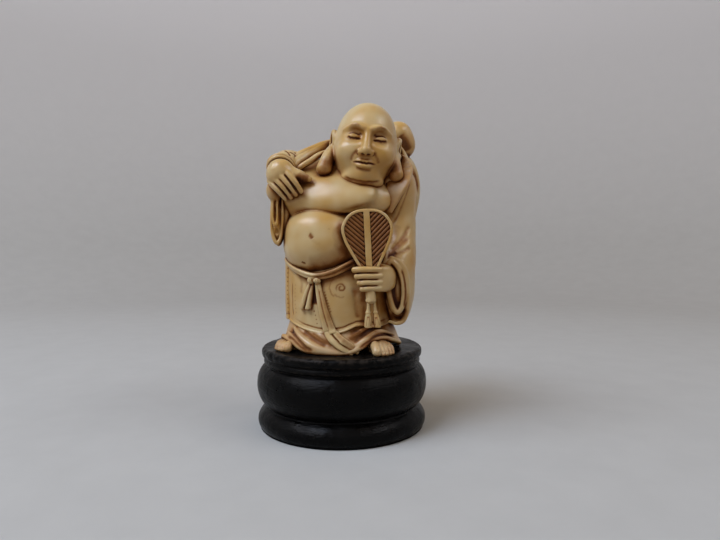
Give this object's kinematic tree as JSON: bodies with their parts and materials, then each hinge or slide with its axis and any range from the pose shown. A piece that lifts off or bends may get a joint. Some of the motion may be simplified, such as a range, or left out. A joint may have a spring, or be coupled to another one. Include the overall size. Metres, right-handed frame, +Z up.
{
  "type": "laughing monk figurine",
  "caption": "Standing pot-bellied monk figurine in ivory-coloured resin, with a sack over the shoulder and a palm-leaf fan, on a turned black plinth.",
  "frame": {"origin": "centre of the plinth's underside", "axes": "+Z up, the figure faces -Y, +X is the figure's left (the viewer's right)"},
  "size_m": [0.052, 0.052, 0.0964],
  "materials": {
    "ivory_resin": "satin, with brown patina in the recesses",
    "lacquered_wood": "black lacquer, semi-gloss, worn on the edges",
    "peg_wood": "plain"
  },
  "bodies": {
    "root": {"plinth": "lacquered_wood", "right_foot_peg": "peg_wood", "left_foot_peg": "peg_wood", "neck_peg": "peg_wood", "right_foot": "ivory_resin", "left_foot": "ivory_resin", "torso": "ivory_resin", "head": "ivory_resin", "waistband": "ivory_resin", "tunic": "ivory_resin", "underskirt": "ivory_resin", "robe": "ivory_resin", "robe_collar": "ivory_resin", "sack": "ivory_resin", "sack_strap": "ivory_resin", "left_sleeve": "ivory_resin", "right_sleeve": "ivory_resin", "fan": "ivory_resin", "left_hand": "ivory_resin", "right_hand": "ivory_resin", "fan_tassels": "ivory_resin", "sash_bow": "ivory_resin", "sash_tails": "ivory_resin"}
  },
  "joints": []
}
